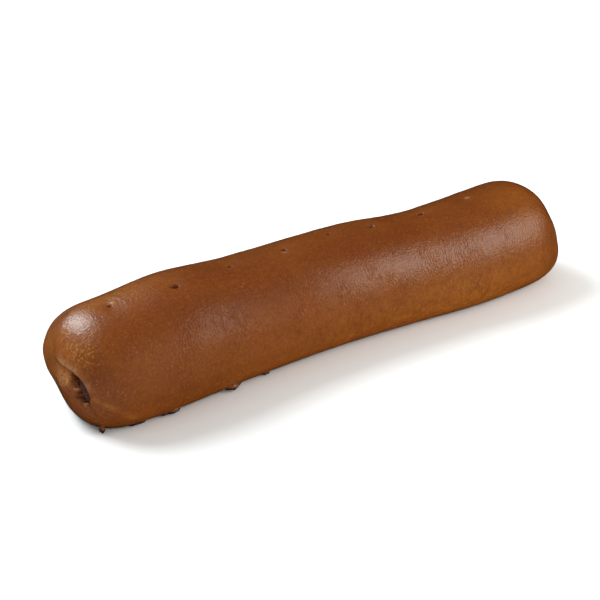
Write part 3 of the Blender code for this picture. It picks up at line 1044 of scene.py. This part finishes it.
    # strength of the painted shade along the near crease
    crease_shade: float = 0.4
    crease_area: float = 4.5        # how far from a crease the skin is refined
    singed_and_shade_level: float = 1.3       # height that the thin dark edge round the base reaches, browner bake and painted contact shadow
    singed_and_shade_wander: Unevenness = Unevenness(0.8, (9, 9, 9), 3.1, octaves=3)  # of that height
    singed_and_shade_fade: float = 0.9
    singed_and_shade_strength: float = 0.8
    plain_share: float = 0.66       # how far the plain underside reaches, of the half width
    plain_length: float = 0.46      # and of the log's length, to either side
    plain_loss: float = 0.65        # how much less dark it is painted there
    swelling: tuple[Unevenness, ...] = (
        Unevenness(0.30, (42, 30, 30), 11.0),   # slow lumps
        Unevenness(0.10, (13, 11, 11), 29.0),   # dimples
        Unevenness(0.05, (3.2, 12, 12), 5.0),   # wrinkles that the mesh itself carries
    )
    crumbling: Unevenness = Unevenness(0.6, (2.2, 2.2, 2.2), 7.0)
    shift: np.ndarray = field(init=False)
    _meridian: Meridian = field(init=False)

    def build(self) -> bpy.types.Object:
        """Make the crust's piece.

        Returns:
            The piece.
        """
        self._meridian = Meridian(self.form)
        mesh = self._sheet()
        along, angle = self._read(mesh, "along"), self._read(mesh, "angle")
        move_points(mesh, self._meridian.points(along, angle))
        points = self._tuck(mesh, along, angle)
        move_points(mesh, points)
        self.shift = self._shift_to_solid(points)
        wobble = 1 + self.wobble.at(points)
        masks = self._masks(points, along, angle, wobble)
        raised = self._relieve(mesh, points, masks, wobble)
        raised[:, 2] = np.maximum(raised[:, 2], 0)
        move_points(mesh, (raised + self.shift) * MM)
        for mask, values in masks.items():
            layer = mesh.attributes.new(mask.value, 'FLOAT', 'POINT')
            layer.data.foreach_set("value", np.clip(values, 0, 1).astype(np.float32))
        return new_piece("glazed_crust", mesh, self.finish.material(), ("crust",))

    @staticmethod
    def _read(mesh: bpy.types.Mesh, name: str) -> np.ndarray:
        """Values of one of a mesh's number attributes."""
        found = np.empty(len(mesh.vertices), dtype=np.float32)
        mesh.attributes[name].data.foreach_get("value", found)
        return found.astype(float)

    def _sheet(self) -> bpy.types.Mesh:
        """A flat sheet of places on the skin, refined at the relief, then closed into a skin.

        Returns:
            The plain skin, with each vertex's distance along it and angle round it.
        """
        sheet = bmesh.new()
        length = self._meridian.total
        lie = Matrix.Translation((length / 2, math.pi / 2, 0))
        bmesh.ops.create_grid(sheet, x_segments=round(length / self.step),
                              y_segments=round(math.pi * self.form.width / self.step), size=0.5,
                              matrix=lie @ Matrix.Diagonal((length, math.tau, 1, 1)))
        for reach in (1.0, 0.55):
            self._refine(sheet, reach)
        along = sheet.verts.layers.float.new("along")
        angle = sheet.verts.layers.float.new("angle")
        skin_map = sheet.loops.layers.uv.new(self.MAP)
        for face in sheet.faces:
            for corner in face.loops:
                place = corner.vert.co
                corner[skin_map].uv = (place.x * MM, place.y * self.form.width / 2 * MM)
        for vertex in sheet.verts:
            vertex[along], vertex[angle] = vertex.co.x, vertex.co.y
        places = np.array([vertex.co for vertex in sheet.verts])
        for vertex, point in zip(sheet.verts, self._meridian.points(places[:, 0], places[:, 1])):
            vertex.co = point
        bmesh.ops.remove_doubles(sheet, verts=sheet.verts, dist=0.001)
        bmesh.ops.recalc_face_normals(sheet, faces=sheet.faces)
        return mesh_of(sheet, "glazed_crust")

    def _refine(self, sheet: bmesh.types.BMesh, reach: float) -> None:
        """Halve the sheet's quads near the pricks, the pocket and the creases.

        Args:
            sheet: The sheet, flat in distances along the skin and angles round it.
            reach: How far the refined areas reach, as a share of their full reach.
        """
        places = np.array([vertex.co for vertex in sheet.verts])
        points = self._meridian.points(places[:, 0], places[:, 1])
        wanted = np.min([self._from_prick(points, prick) for prick in self.pricks],
                        axis=0) < self.prick_area * reach
        wanted |= np.linalg.norm(points - self.pocket_place, axis=1) < self.pocket_area * reach
        for end, size in zip((self.form.near, self.form.far),
                             self._meridian.sizes(places[:, 0])):
            on_arc = self.form.tuck_window(end, places[:, 1]) > 0.02
            wanted |= on_arc & (np.abs(self.form.past_crease(size) - 1)
                                < self.crease_area * reach)
        sheet.verts.index_update()
        edges = [edge for edge in sheet.edges
                 if wanted[edge.verts[0].index] and wanted[edge.verts[1].index]]
        bmesh.ops.subdivide_edges(sheet, edges=edges, cuts=1, use_grid_fill=True)

    def _from_prick(self, points: np.ndarray, prick: Prick,
                    shift: tuple[float, float] = (0.0, 0.0), stretch: float = 1.0) -> np.ndarray:
        """Level distance of points on top of the log from a prick, or from a place beside it."""
        side = self.form.middle_line(np.array(prick.place)) + prick.sideways
        distance = np.hypot((points[:, 0] - prick.place - shift[0]) / stretch,
                            points[:, 1] - side - shift[1])
        return np.where(points[:, 2] > 0.6 * self.form.height, distance, 1e3)

    def _tuck(self, mesh: bpy.types.Mesh, along: np.ndarray, angle: np.ndarray) -> np.ndarray:
        """Points of the plain skin with its lips raised and its creases drawn in.

        Args:
            mesh: The plain skin.
            along: Each vertex's distance along it.
            angle: Each vertex's angle round it.

        Returns:
            The moved points.
        """
        plain, normals = mesh_points(mesh), mesh_normals(mesh)
        moved = plain.copy()
        for end, size in zip((self.form.near, self.form.far), self._meridian.sizes(along)):
            rise, slide = self.form.tuck_relief(end, size, angle)
            on_end = size < 1
            outward = plain - (0, end.tongue_y, end.tongue_z)
            outward[:, 0] = 0
            outward /= np.maximum(np.linalg.norm(outward, axis=1), 1e-6)[:, None]
            step = normals * rise[:, None] + outward * slide[:, None]
            moved[on_end] += step[on_end]
        return moved

    @staticmethod
    def _shift_to_solid(points: np.ndarray) -> np.ndarray:
        """How far the log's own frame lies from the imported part's, from the solid's box.

        Args:
            points: The skin's points, in the log's frame.

        Returns:
            The shift, in millimetres.
        """
        low, high = (np.array(corner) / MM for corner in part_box("crust"))
        shift = (low + high) / 2 - (points.min(axis=0) + points.max(axis=0)) / 2
        shift[2] = 0
        LOG.info("the log's frame is shifted by %s mm", np.round(shift, 3))
        return shift

    def _pit(self, points: np.ndarray, prick: Prick, wobble: np.ndarray) -> np.ndarray:
        """1 on the floor of a prick and 0 outside it."""
        distance = self._from_prick(points, prick, stretch=prick.stretch) * wobble
        return soft_edge(prick.radius - distance, prick.slope)

    def _cell_pit(self, points: np.ndarray, cell: PocketCell, wobble: np.ndarray) -> np.ndarray:
        """1 on the floor of a pocket cell and 0 outside it.

        Args:
            points: Points of the skin.
            cell: The cell.
            wobble: Factors at them that make the pits' outlines uneven.

        Returns:
            The cell's share at each point.
        """
        near = self.form.near
        across, up = points[:, 1] - near.tongue_y, points[:, 2] - near.tongue_z
        turn = np.mod(np.arctan2(up, across) - math.radians(cell.angle) + math.pi,
                      math.tau) - math.pi
        apart = np.hypot(turn * cell.from_middle / (cell.length / 2),
                         (np.hypot(across, up) - cell.from_middle) / (cell.width / 2))
        at_end = points[:, 0] < -self.form.length / 2 + near.reach / 2
        return at_end * soft_edge(1 - apart * wobble, self.cell_wall)

    def _masks(self, points: np.ndarray, along: np.ndarray, angle: np.ndarray,
               wobble: np.ndarray) -> dict[Mask, np.ndarray]:
        """The attributes that the crust's finish reads.

        Args:
            points: Points of the skin, before its relief.
            along: Their distances along the skin.
            angle: Their angles round it.
            wobble: Factors at them that make the pits' outlines uneven.

        Returns:
            Each mask's values at the points.
        """
        masks = {mask: np.zeros(len(points)) for mask in Mask}

        def add(mask: Mask, values: np.ndarray) -> None:
            """Raise a mask to values, wherever they are higher."""
            masks[mask] = np.maximum(masks[mask], values)

        for patch in self.patches:
            add(patch.mask, patch.at(points))
        for fold in self.folds:
            add(fold.mask, fold.strength * fold.nearness(points))
        for prick in self.pricks:
            # painted shade inside the prick
            add(Mask.HOLLOW_SHADE, prick.shade * self._pit(points, prick, wobble))
            distance = self._from_prick(points, prick)
            add(Mask.DEEP, 0.8 * bell(distance, self.prick_bake))
            add(Mask.DULL, bell(distance, self.prick_dulling))
            beside = self._from_prick(points, prick, prick.blister_shift)
            # painted highlight on the blister
            add(Mask.PALE_AND_SHEEN, 0.8 * prick.blister * bell(beside, prick.blister_reach))
        for cell in self.cells:
            pit = self._cell_pit(points, cell, wobble)
            # painted shade inside the pocket's cells
            add(Mask.HOLLOW_SHADE, smooth_step(4 * pit))
            add(Mask.CRUMBLY, smooth_step(3 * pit))
        # painted shade along the near crease
        past = self.form.past_crease(self._meridian.sizes(along)[0])
        in_crease = self.form.tuck_window(self.form.near, angle) * bell(past + 0.2, 0.6)
        add(Mask.HOLLOW_SHADE, self.crease_shade * in_crease)
        # browner bake and painted contact shadow round the base
        add(Mask.SINGED_AND_SHADE, self._singed_and_shade(points))
        return masks

    def _singed_and_shade(self, points: np.ndarray) -> np.ndarray:
        """How dark the foot of the skin is painted, browner bake and painted contact shadow
        together: most round its edge, less under the roll.

        Args:
            points: Points of the skin.

        Returns:
            The share at each point.
        """
        across = np.abs(points[:, 1] - self.form.middle_line(points[:, 0])) / self.form.width * 2
        plain = smooth_step((self.plain_share - across) / 0.15)
        plain *= smooth_step((self.plain_length * self.form.length - np.abs(points[:, 0])) / 8)
        level = self.singed_and_shade_level + self.singed_and_shade_wander.at(points)
        low = soft_edge(level - points[:, 2], self.singed_and_shade_fade)
        return self.singed_and_shade_strength * low * (1 - self.plain_loss * plain)

    def _relieve(self, mesh: bpy.types.Mesh, points: np.ndarray, masks: dict[Mask, np.ndarray],
                 wobble: np.ndarray) -> np.ndarray:
        """Points of the skin with its pricks, blisters, pocket, folds, lumps and wrinkles.

        Args:
            mesh: The tucked skin.
            points: Its points.
            masks: The masks at them.
            wobble: Factors at them that make the pits' outlines uneven.

        Returns:
            The moved points.
        """
        normals = mesh_normals(mesh)
        rise = sum(relief.at(points) for relief in self.swelling)
        rise *= smooth_step((points[:, 2] - 1) / 8)     # none where the roll rests
        rise += masks[Mask.CRUMBLY] * self.crumbling.at(points)
        for fold in self.folds:
            rise += fold.rise * fold.nearness(points)
        sink = np.zeros(len(points))
        for prick in self.pricks:
            distance = self._from_prick(points, prick)
            rise -= self.dimple_depth * bell(distance, self.dimple_reach)
            beside = self._from_prick(points, prick, prick.blister_shift)
            rise += prick.blister * bell(beside, prick.blister_reach)
            sink += prick.depth * self._pit(points, prick, wobble)
        moved = points + normals * rise[:, None]
        moved[:, 2] -= sink
        lean = math.radians(self.pocket_undercut)
        for cell in self.cells:
            angle = math.radians(cell.angle)
            inward = np.array([math.cos(lean), math.cos(angle) * math.sin(lean),
                               math.sin(angle) * math.sin(lean)])
            moved += inward * (cell.depth * self._cell_pit(points, cell, wobble))[:, None]
        return moved


# ---------------------------------------------------------------------------------------------
# The filling
# ---------------------------------------------------------------------------------------------
@dataclass
class PoppyFilling:
    """The ground poppy seed filling, over the form of its solid, with a grainy surface."""

    finish: FillingFinish = FillingFinish()
    voxel: float = 0.9
    grain: Unevenness = Unevenness(0.30, (1.6, 1.6, 1.6), 21.0)

    def build(self) -> bpy.types.Object:
        """Make the filling's piece.

        Returns:
            The piece.
        """
        item = draft("filling_draft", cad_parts["filling"].data.copy())
        weld = item.modifiers.new("weld", 'WELD')
        weld.merge_threshold = 0.01 * MM
        mesh = even_mesh(item, self.voxel)
        roughen(mesh, self.grain)
        return new_piece("poppy_filling", mesh, self.finish.material(),
                         ("filling",))


@dataclass(frozen=True)
class Lump:
    """A lump of leaked filling on the front of the base."""

    place: float                # along the log
    length: float
    height: float
    proud: float                # how far it stands out of the crust


@dataclass
class LeakedFilling:
    """Lumps of filling that leaked out and baked on along the front, and a drip at the near end."""

    form: LogForm
    shift: np.ndarray
    finish: LeakFinish = LeakFinish()
    lumps: tuple[Lump, ...] = (
        Lump(-122.5, 11, 2.5, 0.6),
        Lump(-107.5, 7, 2.8, 0.9),
        Lump(-103.5, 7.5, 3.6, 1.8),
        Lump(-68.5, 7.5, 4.4, 2.6),
        Lump(-64.5, 5, 2.6, 1.0),
        Lump(-47, 6.0, 2.6, 0.9),
    )
    root: float = 1.2           # how far a lump's middle is sunk into the crust
    level: float = 0.3          # height of the lumps' undersides
    drip: tuple[float, float] = (-139.7, -27.1)
    drip_width: float = 3.2
    drip_height: float = 5.5
    voxel: float = 0.3
    reliefs: tuple[Unevenness, ...] = (
        Unevenness(0.35, (2.2, 2.2, 2.2), 33.0),
        Unevenness(0.15, (0.9, 0.9, 0.9), 41.0),
    )

    def build(self) -> bpy.types.Object:
        """Make the piece of leaked filling.

        Returns:
            The piece.
        """
        tools = bmesh.new()
        for lump in self.lumps:
            self._add_lump(tools, lump)
        self._add_drip(tools)
        mesh = even_mesh(draft("leak_draft", mesh_of(tools, "leaked_filling")), self.voxel)
        for relief in self.reliefs:
            roughen(mesh, relief)
        return new_piece("leaked_filling", mesh, self.finish.material())

    def _add_lump(self, tools: bmesh.types.BMesh, lump: Lump) -> None:
        """Add one lump, which lies along the front of the base.

        Args:
            tools: The leaked filling so far.
            lump: The lump.
        """
        level = self.level + lump.height / 2
        ahead = (self.form.front_edge(lump.place + lump.length / 2, level)
                 - self.form.front_edge(lump.place - lump.length / 2, level)).normalized()
        side = Vector((0, 0, 1)).cross(ahead)
        middle = self.form.front_edge(lump.place, level) + side * self.root
        self._add_ball(tools, middle, Matrix((ahead, side, (0, 0, 1))).transposed(),
                       (lump.length, 2 * (lump.proud + self.root), lump.height))

    def _add_drip(self, tools: bmesh.types.BMesh) -> None:
        """Add the drip, a ball under a short neck that leans on the crust."""
        x, y = self.drip
        width = self.drip_width
        upright = Matrix.Identity(3)
        self._add_ball(tools, Vector((x, y, self.level + width / 2)), upright, (width,) * 3)
        neck = Vector((x + 0.3 * width, y + 0.2 * width, self.level + 0.6 * self.drip_height))
        self._add_ball(tools, neck, upright, (0.75 * width, 0.75 * width, self.drip_height))

    def _add_ball(self, tools: bmesh.types.BMesh, middle: Vector, turn: Matrix,
                  sizes: Point) -> None:
        """Add an ellipsoid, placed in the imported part's frame."""
        place = Matrix.Translation((middle + Vector(self.shift)) * MM)
        scale = Matrix.Diagonal((*(Vector(sizes) / 2 * MM), 1))
        bmesh.ops.create_icosphere(tools, subdivisions=3, radius=1,
                                   matrix=place @ turn.to_4x4() @ scale)


class SeedTree(NodeGraph):
    """Geometry Nodes that scatter seeds over a mesh, thickest where its seeding is 1."""

    SEEDING = "seeding"
    DENSITY = 4.0e6                 # seeds tried for each square metre
    SHAPE = (1.0, 0.82, 0.72)       # a seed's length, width and height, as shares of its length
    GROWTH = (0.8, 1.15)            # the smallest and the largest seed, as shares of the size

    def __init__(self) -> None:
        """Build the tree, with its sizes as named inputs."""
        super().__init__(bpy.data.node_groups.new("seed_scatter", 'GeometryNodeTree'))
        self.inputs = {}
        for name, kind in (("Geometry", 'Geometry'), ("Spacing", 'Float'),
                           ("Seed Radius", 'Float'), ("Draw", 'Int'), ("Finish", 'Material')):
            socket = self.tree.interface.new_socket(name, in_out='INPUT',
                                                    socket_type=f"NodeSocket{kind}")
            self.inputs[name] = socket.identifier
        self.tree.interface.new_socket("Geometry", in_out='OUTPUT',
                                       socket_type='NodeSocketGeometry')
        self._fill()

    def _fill(self) -> None:
        """Add the nodes."""
        given = self.node("NodeGroupInput").outputs
        seeding = self.node("GeometryNodeInputNamedAttribute", {"Name": self.SEEDING},
                            data_type='FLOAT').outputs["Attribute"]
        places = self.node("GeometryNodeDistributePointsOnFaces",
                           {"Mesh": given["Geometry"], "Distance Min": given["Spacing"],
                            "Density Max": self.DENSITY, "Density Factor": seeding,
                            "Seed": given["Draw"]}, distribute_method='POISSON')
        ball = self.node("GeometryNodeMeshUVSphere",
                         {"Segments": 7, "Rings": 5, "Radius": given["Seed Radius"]})
        seed = self.node("GeometryNodeTransform",
                         {"Geometry": ball.outputs["Mesh"], "Scale": self.SHAPE})
        turn = self.node("FunctionNodeRandomValue",
                         {"Max": (math.tau,) * 3, "Seed": given["Draw"]},
                         data_type='FLOAT_VECTOR')
        growth = self.node("FunctionNodeRandomValue",
                           {2: self.GROWTH[0], 3: self.GROWTH[1], "Seed": given["Draw"]},
                           data_type='FLOAT')
        spread = self.node("GeometryNodeInstanceOnPoints",
                           {"Points": places.outputs["Points"],
                            "Instance": seed.outputs["Geometry"],
                            "Rotation": turn.outputs["Value"],
                            "Scale": growth.outputs[1]})
        real = self.node("GeometryNodeRealizeInstances",
                         {"Geometry": spread.outputs["Instances"]})
        dressed = self.node("GeometryNodeSetMaterial",
                            {"Geometry": real.outputs["Geometry"], "Material": given["Finish"]})
        self.node("NodeGroupOutput", {"Geometry": dressed.outputs["Geometry"]})

    def scatter(self, item: bpy.types.Object, spacing: float, radius: float, draw: int,
                finish: bpy.types.Material) -> bpy.types.Mesh:
        """Seeds over a draft's mesh.

        Args:
            item: The draft, which is removed.
            spacing: The least distance between two seeds, in millimetres.
            radius: A seed's radius, in millimetres.
            draw: The number of the random draw.
            finish: The seeds' material.

        Returns:
            The seeds as one plain mesh.
        """
        modifier = item.modifiers.new("seeds", 'NODES')
        modifier.node_group = self.tree
        modifier[self.inputs["Spacing"]] = spacing * MM
        modifier[self.inputs["Seed Radius"]] = radius * MM
        modifier[self.inputs["Draw"]] = draw
        modifier[self.inputs["Finish"]] = finish
        return baked_mesh(item)


@dataclass
class PoppySeeds:
    """Whole seeds in the filling that shows in the pocket, and a few in what leaked out."""

    filling: bpy.types.Object
    leak: bpy.types.Object
    finish: SeedFinish = SeedFinish()
    spacing: float = 1.1
    radius: float = 0.46
    draw: int = 5                   # number of the random draw
    pocket_depth: float = 12.0      # how far in from the near end the filling is seeded
    leak_seeding: float = 0.08      # share of the leaked filling's places that get a seed

    def build(self) -> bpy.types.Object:
        """Make the piece of seeds.

        Returns:
            The piece.
        """
        tools = bmesh.new()
        seeding = tools.verts.layers.float.new(SeedTree.SEEDING)
        tools.from_mesh(self.filling.data)
        limit = CAD_BOX[0][0] + self.pocket_depth * MM
        hidden = [vertex for vertex in tools.verts if vertex.co.x > limit]
        bmesh.ops.delete(tools, geom=hidden, context='VERTS')
        for vertex in tools.verts:
            vertex[seeding] = 1.0
        bed = len(tools.verts)
        tools.from_mesh(self.leak.data)
        tools.verts.ensure_lookup_table()
        for vertex in tools.verts[bed:]:
            vertex[seeding] = self.leak_seeding if vertex.co.z > self.radius * MM else 0.0
        ground = draft("seed_ground", mesh_of(tools, "seed_ground"))
        material = self.finish.material()
        seeds = SeedTree().scatter(ground, self.spacing, self.radius, self.draw, material)
        return new_piece("poppy_seeds", seeds, material)


# ---------------------------------------------------------------------------------------------
# The studio
# ---------------------------------------------------------------------------------------------
@dataclass(frozen=True)
class SoftLight:
    """A round soft light, by the way to it from the roll and how brightly it lights the roll."""

    name: str
    direction: Point
    distance: float
    size: float
    strength: float             # brightness that it alone gives a white surface facing it
    tint: Colour = (1.0, 1.0, 1.0)
    mirrored: bool = True       # whether the glaze shows its reflection

    def power(self) -> float:
        """Watts that give the light its strength at its distance."""
        return self.strength * (math.pi * self.distance) ** 2


@dataclass
class Studio:
    """The camera at the photo's viewing angle, soft lights and a plain white floor."""

    azimuth: float = -35.0
    elevation: float = 25.0
    distance: float = 0.885
    aim: Point = (-0.012584, 0.001478, 0.0231)
    lens: float = 106.5
    sensor: float = 36.0
    lights: tuple[SoftLight, ...] = (
        SoftLight("overhead", (-0.36, 0.61, 0.70), 1.1, 0.80, 1.42, (0.90, 0.98, 1.0)),
        SoftLight("front", (0.68, -0.63, 0.38), 0.62, 0.50, 0.56, (1.0, 0.97, 0.88)),
        SoftLight("fill", (-0.25, -0.90, 0.30), 1.5, 1.4, 0.33, (1.0, 0.96, 0.91), False),
    )
    room: float = 0.57          # brightness of the room's even light
    floor_radius: float = 4.0
    floor_drop: float = 0.0002  # how far the floor lies under the roll's base

    def build(self) -> None:
        """Make the camera, the lights and the floor."""
        self._camera()
        for light in self.lights:
            self._light(light)
        self._world()
        self._floor()

    def _camera(self) -> None:
        """Add the camera."""
        data = bpy.data.cameras.new("camera")
        data.lens, data.sensor_width = self.lens, self.sensor
        camera = bpy.data.objects.new("camera", data)
        azimuth, elevation = math.radians(self.azimuth), math.radians(self.elevation)
        back = Vector((math.sin(azimuth) * math.cos(elevation),
                       -math.cos(azimuth) * math.cos(elevation), math.sin(elevation)))
        self._point(camera, back, self.distance)
        bpy.context.scene.camera = camera

    def _point(self, item: bpy.types.Object, way: Vector, distance: float) -> None:
        """Link an object at a distance from the roll, some way from it, and point it back."""
        item.location = Vector(self.aim) + way * distance
        item.rotation_euler = way.to_track_quat('Z', 'Y').to_euler()
        link(item)

    def _light(self, light: SoftLight) -> None:
        """Add a soft light that faces the roll.

        Args:
            light: The light.
        """
        data = bpy.data.lights.new(light.name, 'AREA')
        data.shape = 'DISK'
        data.size = light.size
        data.energy = light.power()
        data.color = light.tint
        lamp = bpy.data.objects.new(light.name, data)
        lamp.visible_glossy = light.mirrored
        self._point(lamp, Vector(light.direction).normalized(), light.distance)

    def _world(self) -> None:
        """Light the room evenly, with no reflection of it in the glaze."""
        world = bpy.data.worlds.new("studio")
        world.use_nodes = True
        background = world.node_tree.nodes["Background"]
        background.inputs["Color"].default_value = (1, 1, 1, 1)
        background.inputs["Strength"].default_value = self.room
        world.cycles_visibility.glossy = False
        scene = bpy.context.scene
        scene.world = world
        scene.view_settings.view_transform = 'Standard'

    def _floor(self) -> None:
        """Add the floor, a hair under the roll's base."""
        tools = bmesh.new()
        bmesh.ops.create_circle(tools, cap_ends=True, segments=96, radius=self.floor_radius,
                                matrix=Matrix.Translation((0, 0, -self.floor_drop)))
        mesh = mesh_of(tools, "floor")
        mesh.materials.append(FloorFinish().material())
        floor = link(bpy.data.objects.new("floor", mesh))
        floor.visible_glossy = False


def main() -> None:
    """Build the roll's pieces in order."""
    logging.basicConfig(level=logging.INFO, format="%(name)s: %(message)s")
    skin = Skin(LogForm())
    skin.build()
    filling = PoppyFilling().build()
    leak = LeakedFilling(skin.form, skin.shift).build()
    PoppySeeds(filling, leak).build()
    Studio().build()


if __name__ == "__main__":
    main()
